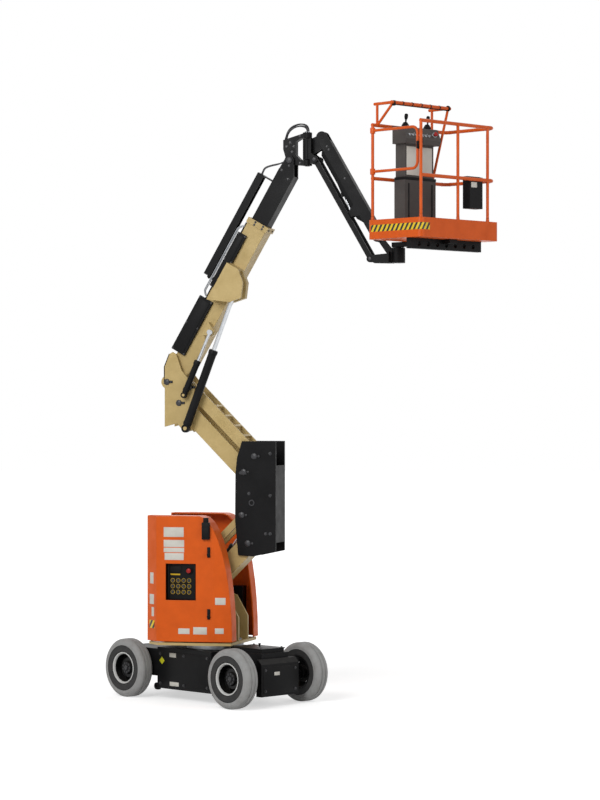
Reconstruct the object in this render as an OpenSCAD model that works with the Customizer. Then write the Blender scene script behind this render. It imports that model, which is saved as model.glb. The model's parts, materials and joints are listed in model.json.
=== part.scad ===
// Articulating boom lift, electric, narrow frame, with a swinging jib.
// Modelled about the slew axis on the ground, then moved so that the origin
// is on the ground under the middle of the machine's own box.
// +X is the steered end of the chassis, +Z is up, millimetres.

/* [Wheels] */
// Outer diameter of a tyre
tyre_d = 635; // [600:5:660]
// Width of a tyre
tyre_w = 178; // [160:2:190]
// Diameter of the rim inside the tyre
rim_d = 344; // [320:2:360]
// Distance between the axles
wheelbase = 1650; // [1600:10:1700]
// Width over the tyres
overall_w = 1220; // [1200:10:1260]

/* [Chassis] */
// Height of the frame's belly above the ground
belly_z = 115; // [100:5:130]
// Height of the deck above the ground
deck_z = 560; // [550:5:570]
// Length of the wide middle of the frame
body_l = 860; // [800:10:880]
// Width of the frame's steered nose
nose_w = 390; // [360:10:400]

/* [Turntable] */
// Heading of the turntable and the booms, from the chassis
slew_deg = 27; // [15:1:40]
// Height of the hoods' top above the ground
hood_top = 2000; // [1960:10:2040]
// Half the width over the hoods at their rear
hood_half = 550; // [540:5:560]
// Thickness of a hood's skin
hood_t = 12; // [10:1:14]

/* [Tower] */
// Length of the lower boom between its pins
lower_l = 1080; // [1060:5:1100]
// Length of the middle boom between its pins
mid_l = 1050; // [1030:5:1070]
// Pitch of the lower and the middle boom
tower_deg = 45; // [43:1:47]
// Width of the tower booms
tower_w = 260; // [240:5:270]
// Thickness of the plates of the uprights
cheek_t = 22; // [18:1:25]

/* [Main boom] */
// Pitch of the main boom
boom_deg = 60; // [58:1:62]
// Length of the outer boom from its pivot to its mouth
outer_l = 2000; // [1960:10:2020]
// Length from the boom's pivot to the pin at its tip
boom_l = 2743; // [2700:10:2780]
// Width of the outer boom
outer_w = 200; // [190:2:204]
// Depth of the outer boom
outer_h = 230; // [220:2:240]
// Wall of the boom sections
boom_wall = 10; // [8:1:12]

/* [Jib] */
// Length of the jib between its pins
jib_l = 1240; // [1200:10:1260]
// Pitch of the jib below the horizontal
jib_deg = 60; // [57:1:61]
// Width of the jib's arm
jib_w = 170; // [160:2:180]

/* [Platform] */
// Long side of the platform
platform_w = 1220; // [1200:10:1240]
// Short side of the platform
platform_d = 760; // [740:10:780]
// Height of the guard rails above the platform's underside
rail_h = 1210; // [1180:10:1230]
// Diameter of the guard rails
rail_d = 38; // [34:1:42]

/* [Fits] */
// Radial clearance of a pin in its bush
pin_gap = 0.4; // [0.3:0.1:0.8]
// Side clearance between plates that move past each other
side_gap = 8; // [6:1:10]

/* [Hidden] */
$fn = 48;
big = 4000;
orange = "#d85a17";
cream = "#c8b27a";
black = "#232324";
steel = "#b9bcc0";
grey = "#8f9092";
rubber = "#939393";

function dir(a) = [cos(a), sin(a)];
function turned(p, a) = [p[0] * cos(a) - p[1] * sin(a), p[0] * sin(a) + p[1] * cos(a)];
function arc(c, r, a0, a1, n) = [for (i = [0:n]) c + r * dir(a0 + (a1 - a0) * i / n)];
function mirrored(pts) = [for (i = [len(pts) - 1:-1:0]) [pts[i][0], -pts[i][1]]];

// Wheels and axles
tyre_r = tyre_d / 2;
axle_x = wheelbase / 2;
wheel_y = (overall_w - tyre_w) / 2;
inner_y = overall_w / 2 - tyre_w;
kingpin_y = inner_y - 47;
kingpin_d = 44;
frame_y = inner_y - 12;
arm_back = 150;

// Pins of the tower, as [forward, up] in the plane of the booms
pin_d = 50;
lower_pin = [-334, 936];
link_rise = [-70, 303];
lower_tip = lower_pin + lower_l * dir(tower_deg);
link_pin = lower_pin + link_rise;
link_tip = lower_tip + link_rise;
mid_pin = lower_tip + [-47, 766];
mid_link_rise = [120, 170];
mid_link_pin = mid_pin + mid_link_rise;
mid_tip = mid_pin + mid_l * dir(180 - tower_deg);
mid_link_tip = mid_tip + mid_link_rise;
boom_pin = mid_tip + [-140, 228];
boom_tip = boom_pin + boom_l * dir(boom_deg);

// Plates of the uprights stand outside the booms
cheek_in = tower_w / 2 + side_gap;
cheek_out = cheek_in + cheek_t;
mid_deg = 180 - tower_deg;
stub_in = outer_w / 2 + 6;

// Boom sections, in the boom's own frame
outer_low = -outer_h / 2 - 40;
outer_top = outer_low + outer_h;
fly_gap = 8;
pad_gap = 0.5;
fly_w = outer_w - 2 * boom_wall - 2 * fly_gap;
fly_h = outer_h - 2 * boom_wall - 2 * fly_gap;
fly_mid = (outer_low + outer_top) / 2;
fly_back = 700;
fly_wall = 8;
fly_end = boom_l - 130;

// Lift cylinder on the near side of the boom
cyl_v = -(cheek_out + 62);
lift_pin = 40;
level_pin = 30;
lift_base = mid_tip + [102, -275];
lift_eye = boom_pin + turned([1220, -215], boom_deg);
level_base = mid_tip + [80, 85];
level_eye = boom_pin + turned([720, -180], boom_deg);
tower_eye = link_tip + [20, -110];
tower_base = lower_pin + [70, 60];

// Jib, in the same plane
turn_d = 60;
swing_u = boom_tip[0] + 180;
swing_top = boom_tip[1] + 295;
swing_low = boom_tip[1] - 60;
jib_pin = [swing_u + 175, boom_tip[1] + 240];
jib_link_rise = [-66, -240];
jib_link_pin = jib_pin + jib_link_rise;
jib_tip = jib_pin + jib_l * dir(-jib_deg);
jib_link_tip = jib_tip + jib_link_rise;
jib_base = jib_pin + [10, -90];
jib_eye = jib_pin + turned([880, -130], -jib_deg);
turn_u = jib_tip[0] + 215;

// Platform, along the chassis, in front of the rotator
turn_at = turn_u * dir(slew_deg);
turn_reach = 125;
plat_z = jib_link_tip[1] + 172;
plat_x0 = turn_at[0] + turn_reach;
plat_x1 = plat_x0 + platform_d;
plat_y0 = turn_at[1] - platform_w / 2;
plat_y1 = plat_y0 + platform_w;
rail_in = 22 + rail_d / 2;
rail_top = plat_z + rail_h - rail_d / 2;
rail_mid = plat_z + 635;
toe_h = 200;
toe_t = 5;
toe_r = 55;
floor_t = 45;

hood_fold = 470;

// The origin is under the middle of the whole machine's box
box_x0 = -axle_x - tyre_r;
box_x1 = plat_x1;
box_y0 = turned([-hood_fold, -hood_half], slew_deg)[1];
box_y1 = plat_y1;
shift = [-(box_x0 + box_x1) / 2, -(box_y0 + box_y1) / 2, 0];

// Placing
module world() translate(shift) children();
module booms() world() rotate([0, 0, slew_deg]) children();
module at(p) translate([p[0], 0, p[1]]) children();
module along(p, a) at(p) rotate([0, -a, 0]) children();
// A flat outline in the boom's plane, from one side to the other
module plate(v0, v1) rotate([90, 0, 0]) translate([0, 0, -v1]) linear_extrude(v1 - v0) children();
module both(v0, v1) {
    plate(v0, v1) children();
    plate(-v1, -v0) children();
}
// A pin across the boom's plane
module pin(p, d, v0, v1) translate([p[0], v1, p[1]]) rotate([90, 0, 0]) cylinder(d = d, h = v1 - v0);
// A bar between two eyes that stand a little proud of it
proud = 1;
module bar(p, q, w) {
    d = q - p;
    eye(p, w);
    eye(q, w);
    translate(p) rotate(atan2(d[1], d[0])) translate([0, proud - w / 2]) square([norm(d), w - 2 * proud]);
}
module eye(p, d) translate(p) circle(d = d);
module strut(p, q, v, d) {
    e = q - p;
    translate([p[0], v, p[1]]) rotate([0, 90 - atan2(e[1], e[0]), 0]) cylinder(d = d, h = norm(e));
}

// Wheels
tyre_side = [[rim_d / 2, tyre_w / 2 - 14], [rim_d / 2 + 12, tyre_w / 2 - 2], [tyre_r - 62, tyre_w / 2],
    [tyre_r - 26, tyre_w / 2 - 8], [tyre_r - 6, tyre_w / 2 - 26], [tyre_r, tyre_w / 2 - 52]];
module tyre(x, y) world() color(rubber) translate([x, y, tyre_r]) rotate([90, 0, 0])
    rotate_extrude($fn = 96) polygon(concat(tyre_side, mirrored(tyre_side)));

rim_t = 14;
rim_in = 10;
hub_d = 150;
hub_out = 34;
hub_bore = 60;
module rim(x, y, side) world() color(black) translate([x, y, tyre_r]) rotate([side * 90, 0, 0]) difference() {
    rotate_extrude($fn = 96) polygon([
        [hub_bore / 2 + pin_gap, -60], [hub_d / 2, -60], [hub_d / 2, -8], [rim_d / 2 - 60, -8],
        [rim_d / 2 - rim_t, -50], [rim_d / 2 - rim_t, rim_in - tyre_w / 2], [rim_d / 2, rim_in - tyre_w / 2],
        [rim_d / 2, tyre_w / 2 - rim_in], [rim_d / 2 - rim_t, tyre_w / 2 - rim_in], [rim_d / 2 - rim_t, -34],
        [rim_d / 2 - 66, 8], [hub_d / 2, 8], [hub_d / 2 - 14, hub_out], [hub_bore / 2 + pin_gap, hub_out]]);
    for (i = [0:5]) rotate(60 * i) translate([rim_d / 2 - 54, 0, -80]) cylinder(d = 26, h = 160);
}

// Chassis
lug_hole = 36;
lug_t = 40;
lug_d = 76;
lug_out = 26;
lug_z = belly_z + 16;
lug_y = frame_y - lug_t / 2 - 8;
body_x0 = -body_l / 2 - 40;
body_x1 = body_x0 + body_l;
nose_x1 = axle_x + 100;
lid_h = 40;
lid_in = 30;
// The box ahead of the axle stays clear of the tyres at full lock
bumper = [80, 550, 390];
bumper_cut = 50;
rod_z = tyre_r - 84;
rod_d = 24;
module lug(x, side) translate([x, lug_y, 0]) plate(-lug_t / 2, lug_t / 2) difference() {
    union() {
        eye([side * lug_out, lug_z], lug_d);
        translate([side > 0 ? -1 : -lug_out, lug_z - lug_d / 2]) square([lug_out + 1, lug_d]);
    }
    eye([side * lug_out, lug_z], lug_hole);
}
module chassis_frame() world() color(black) {
    translate([body_x0, -frame_y, belly_z]) cube([body_l, 2 * frame_y, deck_z - belly_z]);
    translate([-axle_x - 190, -frame_y, belly_z + 130])
        cube([axle_x + 191 + body_x0, 2 * frame_y, deck_z - belly_z - 150]);
    for (s = [0, 1]) mirror([0, s, 0]) {
        lug(body_x0, -1);
        lug(body_x1, 1);
    }
}

// The front frame carries the steered axle; the tie rod passes under it
module front_frame() world() color(black) {
    translate([body_x1, -nose_w / 2, rod_z + rod_d])
        cube([nose_x1 - body_x1, nose_w, deck_z - rod_z - rod_d]);
    translate([body_x1 + lid_in, -nose_w / 2 + lid_in, deck_z - 1])
        cube([nose_x1 - body_x1 - 2 * lid_in, nose_w - 2 * lid_in, lid_h + 1]);
}
module front_bumper() world() color(black)
    translate([nose_x1, 0, belly_z]) plate(-bumper[1] / 2, bumper[1] / 2)
        polygon([[0, 0], [bumper[0], 0], [bumper[0], bumper[2] - bumper_cut],
            [bumper[0] - bumper_cut, bumper[2]], [0, bumper[2]]]);

module rear_axle() world() color(black) for (s = [-1, 1])
    translate([-axle_x, s * frame_y, tyre_r]) rotate([-s * 90, 0, 0]) {
        cylinder(d = 200, h = 36);
        cylinder(d = hub_bore, h = wheel_y - frame_y + 20);
    }

yoke_h = 95;
yoke_t = 34;
yoke_w = 80;
module yoke() difference() {
    union() {
        for (z = [-yoke_h, yoke_h - yoke_t]) translate([axle_x, 0, tyre_r + z]) linear_extrude(yoke_t) {
            translate([-yoke_w / 2, nose_w / 2]) square([yoke_w, kingpin_y - nose_w / 2]);
            translate([0, kingpin_y]) circle(d = yoke_w);
        }
        translate([axle_x - yoke_w / 2, nose_w / 2, tyre_r - yoke_h]) cube([yoke_w, 60, 2 * yoke_h]);
    }
    translate([axle_x, kingpin_y, 0]) cylinder(d = kingpin_d + 2 * pin_gap, h = tyre_d);
}
module front_axle() world() color(black) for (s = [0, 1]) mirror([0, s, 0]) yoke();

rod_pin = 20;
arm_w = 40;
knuckle_h = 112;
module knuckle(s) world() color(black) translate([axle_x, s * kingpin_y, tyre_r]) {
    translate([0, 0, -knuckle_h / 2]) cylinder(d = 74, h = knuckle_h);
    translate([0, 0, -yoke_h - 4]) cylinder(d = kingpin_d, h = 2 * yoke_h + 8);
    rotate([-s * 90, 0, 0]) cylinder(d = hub_bore, h = wheel_y - kingpin_y + 24);
    translate([0, 0, -knuckle_h / 2]) linear_extrude(22) {
        translate([-arm_back, -arm_w / 2]) square([arm_back, arm_w]);
        translate([-arm_back, 0]) circle(d = arm_w);
    }
    translate([-arm_back, 0, rod_z - tyre_r - 16]) cylinder(d = rod_pin, h = 50);
}

module tie_rod() world() color(steel) translate([axle_x - arm_back, 0, rod_z]) difference() {
    union() {
        rotate([90, 0, 0]) cylinder(d = rod_d, h = 2 * kingpin_y, center = true);
        for (s = [-1, 1]) translate([0, s * kingpin_y, -14]) cylinder(d = arm_w, h = 28);
    }
    for (s = [-1, 1]) translate([0, s * kingpin_y, -40]) cylinder(d = rod_pin + 2 * pin_gap, h = 80);
}

// Turntable
module slew_ring() world() color(steel) translate([0, 0, deck_z]) difference() {
    cylinder(d = 620, h = ring_h, $fn = 96);
    translate([0, 0, -1]) cylinder(d = 440, h = ring_h + 2, $fn = 96);
}

ring_h = 55;
base_z = deck_z + ring_h;
base_t = 30;
floor_z = base_z + base_t;
post_t = 25;
hinge_d = 22;
hinge_at = [-580, 400];
hood_in = 285;
hood_z0 = floor_z + 12;
hood_front = 345;
hood_tail = -620;
base_side = [[hood_tail + 16, 418], [-hood_fold + 6, hood_half - 20], [150, 462], [hood_front - 16, 414]];
base_pin = 40;
base_lug = [50, 68];
module turntable() booms() color(cream) {
    translate([0, 0, base_z]) linear_extrude(base_t) polygon(concat(base_side, mirrored(base_side)));
    both(cheek_in, cheek_in + post_t) polygon([[-540, floor_z - 1], [hood_front - 20, floor_z - 1],
        [hood_front - 20, 900], [200, 1120], [40, 1180], [-330, 1330], [-500, 1330], [-540, 1200]]);
    for (p = [lower_pin, link_pin]) both(stub_in, cheek_in + post_t) eye(p, pin_d);
    both(base_lug[0], base_lug[1]) {
        polygon([[-350, floor_z - 1], [-170, floor_z - 1], tower_base + [35, 0], tower_base - [35, 0]]);
        eye(tower_base, 70);
    }
    pin(tower_base, base_pin, -base_lug[1], base_lug[1]);
    for (s = [-1, 1]) translate([hinge_at[0], s * hinge_at[1], floor_z - 1]) cylinder(d = hinge_d, h = 1200);
}

module counterweight() booms() color(black)
    translate([-565, -cheek_in + 10, floor_z]) cube([115, 2 * cheek_in - 20, 500]);

battery_w = 120;
battery_h = 560;
module battery_blocks() booms() color(black) for (s = [0, 1]) mirror([0, s, 0])
    translate([-430, hood_in + 20, floor_z]) cube([640, battery_w, battery_h]);

// The front edge of a hood is a quarter of an ellipse; t insets the outline for the hollow
function hood_low(t) = hood_z0 - (t > 0 ? 50 : 0);
function hood_side(t) = concat([[hood_tail + t, hood_low(t)], [hood_tail + t, hood_top - t]],
    [for (i = [0:10]) [-10 - t / 2 + (hood_front + 10 - t / 2) * sin(9 * i),
        hood_low(t) + (hood_top - t - hood_low(t)) * cos(9 * i)]]);
function hood_plan(t) = [[hood_tail + t, hood_in - 4 * t], [hood_tail + t, 430 - t / 2],
    [-hood_fold + t / 2, hood_half - t], [150, 478 - t], [hood_front - t, 428 - t],
    [hood_front - t, hood_in - 4 * t]];
module hood_block(t) intersection() {
    linear_extrude(big) polygon(hood_plan(t));
    plate(0, 800) polygon(hood_side(t));
}
module hood() color(orange) difference() {
    union() {
        difference() {
            hood_block(0);
            hood_block(hood_t);
        }
        for (z = [hood_z0 + 150, hood_z0 + 950]) translate([hinge_at[0], hinge_at[1], z]) linear_extrude(60)
            polygon([[-36, -22], [22, -22], [22, 72], [-36, 36]]);
    }
    translate([hinge_at[0], hinge_at[1], 0]) cylinder(d = hinge_d + 2 * pin_gap, h = big);
}
panel = [-365, 1105, 320, 380];
module hood_far() booms() hood();
module hood_near() booms() mirror([0, 1, 0]) difference() {
    hood();
    translate([panel[0] - 5, 400, panel[1] - 5]) cube([panel[2] + 10, 300, panel[3] + 10]);
}

module ground_controls() booms() color(black) {
    translate([panel[0], -hood_half + 72, panel[1]]) cube([panel[2], 46, panel[3]]);
    translate([panel[0] + 65, -hood_half + 117, floor_z + battery_h])
        cube([190, 60, panel[1] + panel[3] - floor_z - battery_h]);
}

// Tower
lower_depth = 200;
// The lower boom's skin and boss leave room for the tower cylinder
skin_from = 320;
tip_boss = 112;
mid_depth = 184;
link_depth = 74;
mid_link_depth = 130;
web_t = 16;
across = 400;
module bores(pins, d) for (p = pins) pin(p, d + 2 * pin_gap, -across, across);
module stubs(pins, d) for (p = pins) both(stub_in, cheek_out) eye(p, d);
module lower_boom() booms() color(cream) difference() {
    union() {
        both(tower_w / 2 - web_t, tower_w / 2) bar(lower_pin, lower_tip, lower_depth);
        plate(-tower_w / 2, tower_w / 2) {
            translate(lower_pin) rotate(tower_deg) translate([skin_from, 2 - lower_depth / 2])
                square([lower_l - skin_from, 26]);
            eye(lower_tip, tip_boss);
        }
    }
    bores([lower_pin, lower_tip], pin_d);
}

module lower_link() booms() color(cream) difference() {
    both(tower_w / 2 - 40, tower_w / 2) bar(link_pin, link_tip, link_depth);
    bores([link_pin, link_tip], pin_d);
}

module lower_upright() booms() color(black) {
    foot = lower_tip[1] - 140;
    head = mid_pin[1] + 332;
    front = lower_tip[0] + 315;
    rest = tower_eye + [95, -40];
    both(cheek_in, cheek_out) polygon([[lower_tip[0] - 110, foot + 10], [lower_tip[0] + 60, foot],
        [front, foot + 55], [front, head], mid_pin + [-20, head - mid_pin[1]], mid_pin + [-75, 160],
        mid_pin + [-95, -20], link_tip + [-75, 60], link_tip + [-75, -60]]);
    stubs([lower_tip, link_tip, mid_pin, mid_link_pin], pin_d);
    plate(-cheek_in - 1, cheek_in + 1) {
        translate([front - 14, foot + 150]) square([14, head - foot - 410]);
        eye(rest, 44);
    }
    both(42, 58) bar(rest, tower_eye, 50);
}

module tower_barrel() booms() color(black)
    cylinder_barrel(tower_base, tower_eye, 0, 820, 84, 44, 66, base_pin);
module tower_rod() booms() color(steel) cylinder_rod(tower_base, tower_eye, 0, 300, 44, 66, 66);

module mid_boom() booms() color(cream) difference() {
    union() {
        both(tower_w / 2 - web_t, tower_w / 2) bar(mid_pin, mid_tip, mid_depth);
        plate(-tower_w / 2, tower_w / 2) translate(mid_pin) rotate(mid_deg)
            translate([0, mid_depth / 2 - web_t - 2]) square([mid_l, web_t]);
    }
    bores([mid_pin, mid_tip], pin_d);
}

// Ladder of rungs between the bars, short of the tip so that the main boom passes
link_in = outer_w / 2 + side_gap;
rung_pitch = 150;
module mid_link() booms() color(cream) difference() {
    union() {
        both(link_in, tower_w / 2) bar(mid_link_pin, mid_link_tip, mid_link_depth);
        plate(-link_in - 1, link_in + 1) translate(mid_link_pin) rotate(mid_deg) for (i = [0:4])
            translate([90 + rung_pitch * i, -mid_link_depth / 2]) square([26, 20]);
    }
    bores([mid_link_pin, mid_link_tip], pin_d);
}

module upper_upright() booms() color(cream) {
    both(cheek_in, cheek_out) {
        polygon([boom_pin + [-25, -486], boom_pin + [-25, 164], boom_pin + [30, 304], boom_pin + [67, 325],
            boom_pin + [105, 304], boom_pin + [170, 124], mid_link_tip + [10, 60], mid_link_tip + [60, 0],
            mid_tip + [150, -60], mid_tip + [113, -158], mid_tip + [150, -300], mid_tip + [60, -318],
            mid_tip + [-20, -220]]);
        eye(boom_pin, 130);
        eye(mid_link_tip, 120);
    }
    stubs([boom_pin, mid_tip, mid_link_tip], pin_d);
    plate(-cheek_in - 1, cheek_in + 1) eye(mid_tip + [-90, -150], 44);
    pin(lift_base, lift_pin, cyl_v - 30, -cheek_out + 1);
    pin(level_base, level_pin, cyl_v - 26, -cheek_out + 1);
}

// Main boom, in its own frame
module in_boom() booms() along(boom_pin, boom_deg) children();
bracket = [[1020, 0], [1120, -235], [1225, -330], [1380, -266], [1475, -150], [1475, 0]];
module main_boom() in_boom() color(cream) difference() {
    union() {
        translate([200, -outer_w / 2, outer_low]) cube([outer_l - 200, outer_w, outer_h]);
        translate([outer_l - 60, -outer_w / 2 - 14, outer_low - 14]) cube([60, outer_w + 28, outer_h + 28]);
        plate(-tower_w / 2, tower_w / 2) eye([0, 0], 150);
        plate(-outer_w / 2, outer_w / 2) polygon([[-40, -60], [201, outer_low], [201, outer_top], [-20, 74]]);
        plate(cyl_v + 52, -outer_w / 2 + 1) polygon(bracket);
        plate(cyl_v - 76, cyl_v - 52) polygon(bracket);
        plate(cyl_v - 60, cyl_v + 60) translate([1440, -150]) square([35, 150]);
        plate(cyl_v + 40, -outer_w / 2 + 1) {
            eye([720, -180], 80);
            polygon([[640, -100], [800, -100], [760, -180], [680, -180]]);
        }
    }
    translate([230, -fly_w / 2 - fly_gap, fly_mid - fly_h / 2 - fly_gap])
        cube([outer_l - 290, fly_w + 2 * fly_gap, fly_h + 2 * fly_gap]);
    translate([230, -fly_w / 2 - pad_gap, fly_mid - fly_h / 2 - pad_gap])
        cube([outer_l, fly_w + 2 * pad_gap, fly_h + 2 * pad_gap]);
    plate(-across, across) eye([0, 0], pin_d + 2 * pin_gap);
}

cover_t = 34;
module boom_covers() in_boom() color(black) {
    translate([340, -outer_w / 2 - cover_t, -20]) cube([660, cover_t, 168]);
    translate([1147, -outer_w / 2 - cover_t, 0]) cube([660, cover_t, 106]);
    translate([960, track_v - 42, outer_top]) cube([970, 84, track_z - track_r - outer_top - pad_gap]);
}

// Cylinders: l is the barrel's length, or the depth of the rod's inner end from the base pin
module cylinder_barrel(p, q, v, l, d, rod, eye_w, hole) {
    e = (q - p) / norm(q - p);
    difference() {
        union() {
            strut(p + 0.4 * d * e, p + l * e, v, d);
            pin(p, d, v - eye_w / 2, v + eye_w / 2);
        }
        strut(p + (d / 2 + 20) * e, p + (l + 60) * e, v, rod + 2 * pin_gap);
        pin(p, hole + 2 * pin_gap, v - d, v + d);
    }
}
module cylinder_rod(p, q, v, l, d, eye_d, eye_w) {
    e = (q - p) / norm(q - p);
    strut(p + l * e, q, v, d);
    pin(q, eye_d, v - eye_w / 2, v + eye_w / 2);
}
module lift_barrel() booms() color(black)
    cylinder_barrel(lift_base, lift_eye, cyl_v, 900, 90, 46, 44, lift_pin);
module lift_rod() booms() color(steel) cylinder_rod(lift_base, lift_eye, cyl_v, 640, 46, 84, 60);
level_v = cyl_v + 4;
module level_barrel() booms() color(black) 
    cylinder_barrel(level_base, level_eye, level_v, 400, 66, 30, 40, level_pin);
module level_rod() booms() color(steel) cylinder_rod(level_base, level_eye, level_v, 310, 30, 56, 40);

module fly_boom() in_boom() color(black) {
    difference() {
        union() {
            translate([fly_back, -fly_w / 2, fly_mid - fly_h / 2]) cube([fly_end - fly_back, fly_w, fly_h]);
            translate([fly_back, -fly_w / 2 - fly_gap + pad_gap, fly_mid - fly_h / 2 - fly_gap + pad_gap])
                cube([60, fly_w + 2 * (fly_gap - pad_gap), fly_h + 2 * (fly_gap - pad_gap)]);
            both(fly_w / 2 - 24, fly_w / 2) {
                polygon([[fly_end - 60, fly_mid - fly_h / 2], [fly_end - 10, fly_mid - fly_h / 2],
                    [boom_l + 20, -48], [boom_l + 20, 48], [fly_end - 60, fly_mid + fly_h / 2]]);
                eye([boom_l, 0], 104);
            }
        }
        translate([fly_back - 1, fly_wall - fly_w / 2, fly_mid - fly_h / 2 + fly_wall])
            cube([fly_end - fly_back - 40, fly_w - 2 * fly_wall, fly_h - 2 * fly_wall]);
    }
    plate(-fly_w / 2, fly_w / 2) eye([boom_l, 0], pin_d);
}

track_v = -45;
track_z = 162;
track_r = 66;
track_x0 = 1220;
track_x1 = fly_end - 164;
module track_tube() in_boom() color(black) {
    difference() {
        translate([track_x0, track_v - 42, 165]) cube([track_x1 + 1 - track_x0, 84, 80]);
        translate([track_x0 - 20, track_v - 36, 160]) cube([track_x1 + 11 - track_x0, 72, 79]);
    }
    translate([track_x1, track_v - 42, fly_mid + fly_h / 2]) cube([14, 84, 245 - fly_mid - fly_h / 2]);
}
module track_chain() in_boom() color(grey) plate(track_v - 30, track_v + 30)
    translate([track_x0 + 40, track_z]) difference() {
    union() {
        circle(r = track_r);
        translate([0, -track_r]) square([460, 2 * track_r]);
    }
    circle(r = track_r - 28);
    translate([0, 28 - track_r]) square([500, 2 * track_r - 56]);
}

// Jib head at the boom's tip, held level
knuckle_d = 100;
head_t = 60;
throat = swing_u - knuckle_d / 2 - 10;
module jib_head() booms() color(black) difference() {
    union() {
        plate(-fly_w / 2 + 30, fly_w / 2 - 30) eye(boom_tip, 104);
        plate(-46, 46) polygon([boom_tip + [-50, 20], boom_tip + [50, -50], [swing_u, swing_low],
            [swing_u, swing_low + head_t], [throat, swing_low + head_t], boom_tip + [60, 60],
            boom_tip + [60, 200], [throat, swing_top - head_t], [swing_u, swing_top - head_t],
            [swing_u, swing_top], boom_tip + [-80, 220], boom_tip + [-80, 120]]);
        for (z = [swing_low, swing_top - head_t])
            translate([swing_u, 0, z]) cylinder(d = knuckle_d, h = head_t);
    }
    bores([boom_tip], pin_d);
    translate([swing_u, 0, 0]) cylinder(d = pin_d + 2 * pin_gap, h = 2 * big);
}

// The arm turns between the inner lugs and the links, so that they pass each other
jib_d = 40;
jib_base_d = 30;
jib_lug = 28;
arm_in = 43;
arm_out = 55;
link_v = 62;
cheek_v = jib_w / 2 + side_gap;
cheek_w = 14;
web_u = swing_u + 60;
module jib_swivel() booms() color(black) {
    z0 = swing_low + head_t + 6;
    z1 = swing_top - head_t - 6;
    translate([swing_u, 0, z0]) cylinder(d = knuckle_d, h = z1 - z0);
    translate([swing_u, 0, swing_low - 6]) cylinder(d = pin_d, h = swing_top - swing_low + 12);
    translate([swing_u, -45, z0]) cube([62, 90, z1 - z0]);
    translate([web_u, -cheek_v - cheek_w, swing_low + 15])
        cube([cheek_w, 2 * (cheek_v + cheek_w), z1 - swing_low - 15]);
    both(jib_lug, jib_lug + 9) {
        polygon([[web_u + 1, z1 - 190], jib_base + [0, -26], jib_pin + [28, 0], jib_pin + [-10, 30],
            [web_u + 1, z1]]);
        eye(jib_pin, 60);
        eye(jib_base, 52);
    }
    both(jib_lug, arm_out + 2) eye(jib_pin, jib_d);
    pin(jib_base, jib_base_d, -jib_lug - 9, jib_lug + 9);
    both(cheek_v, cheek_v + cheek_w) {
        polygon([[web_u + 1, swing_low + 15], jib_link_pin + [0, -38], jib_link_pin + [0, 38],
            [web_u + 1, swing_low + 135]]);
        eye(jib_link_pin, 76);
    }
    both(link_v - 2, cheek_v + cheek_w) eye(jib_link_pin, jib_d);
}

module jib_arm() booms() color(black) difference() {
    union() {
        both(arm_in, arm_out) {
            bar(jib_pin, jib_tip, 120);
            translate(jib_pin) rotate(-jib_deg) polygon([[780, 0], [845, -130], [915, -130], [980, 0]]);
            eye(jib_eye, 70);
        }
        plate(-arm_out, arm_out) translate(jib_pin) rotate(-jib_deg)
            translate([75, 46]) square([jib_l - 75, 14]);
    }
    bores([jib_pin, jib_tip], jib_d);
}

module jib_links() booms() color(black) difference() {
    both(link_v, jib_w / 2) bar(jib_link_pin, jib_link_tip, 56);
    bores([jib_link_pin, jib_link_tip], jib_d);
}

module jib_barrel() booms() color(black) cylinder_barrel(jib_base, jib_eye, 0, 590, 50, 26, 50, jib_base_d);
module jib_rod() booms() color(steel) cylinder_rod(jib_base, jib_eye, 0, 60, 26, 46, 36);

module jib_end() booms() color(black) {
    z0 = jib_link_tip[1] - 45;
    both(jib_lug, jib_lug + 9) {
        polygon([jib_tip + [-10, -28], jib_tip + [10, 28], [turn_u - 74, plat_z - 62],
            [turn_u - 74, z0 + 40]]);
        eye(jib_tip, 60);
    }
    both(jib_lug, arm_out + 2) eye(jib_tip, jib_d);
    both(cheek_v, cheek_v + cheek_w) {
        polygon([jib_link_tip + [0, 38], [turn_u - 74, z0 + 100], [turn_u - 74, z0],
            jib_link_tip + [0, -38]]);
        eye(jib_link_tip, 76);
    }
    both(link_v - 2, cheek_v + cheek_w) eye(jib_link_tip, jib_d);
    translate([turn_u - 90, -cheek_v - cheek_w, z0]) cube([16, 2 * (cheek_v + cheek_w), 120]);
    translate([turn_u, 0, z0]) difference() {
        union() {
            cylinder(d = 150, h = 160);
            translate([-90, -50, 0]) cube([60, 100, 150]);
        }
        translate([0, 0, 40]) cylinder(d = turn_d + 2 * pin_gap, h = 200);
    }
}

// Platform, along the chassis
module platform_support() world() color(black) {
    y = turn_at[1];
    translate([turn_at[0], y, jib_link_tip[1] + 121]) cylinder(d = 130, h = plat_z - jib_link_tip[1] - 121);
    translate([turn_at[0], y, jib_link_tip[1]]) cylinder(d = turn_d, h = 140);
    translate([turn_at[0] - 40, y - 60, plat_z - 48]) cube([platform_d + turn_reach - 60, 120, 48]);
    translate([plat_x0 + 500, plat_y0 + 60, plat_z - 110]) difference() {
        cube([60, platform_w - 120, 110]);
        for (i = [0:6]) translate([-10, 130 + 140 * i, 52]) rotate([0, 90, 0]) cylinder(d = 50, h = 100);
    }
}

// A tray with round corners; t insets the outline
function tray(t) = concat(arc([toe_r, toe_r], toe_r - t, 180, 270, 6),
    arc([platform_d - toe_r, toe_r], toe_r - t, 270, 360, 6),
    arc([platform_d - toe_r, platform_w - toe_r], toe_r - t, 0, 90, 6),
    arc([toe_r, platform_w - toe_r], toe_r - t, 90, 180, 6));
module platform_floor() world() color(orange) translate([plat_x0, plat_y0, plat_z]) difference() {
    linear_extrude(toe_h) polygon(tray(0));
    translate([0, 0, floor_t]) linear_extrude(toe_h) polygon(tray(toe_t));
}

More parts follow.
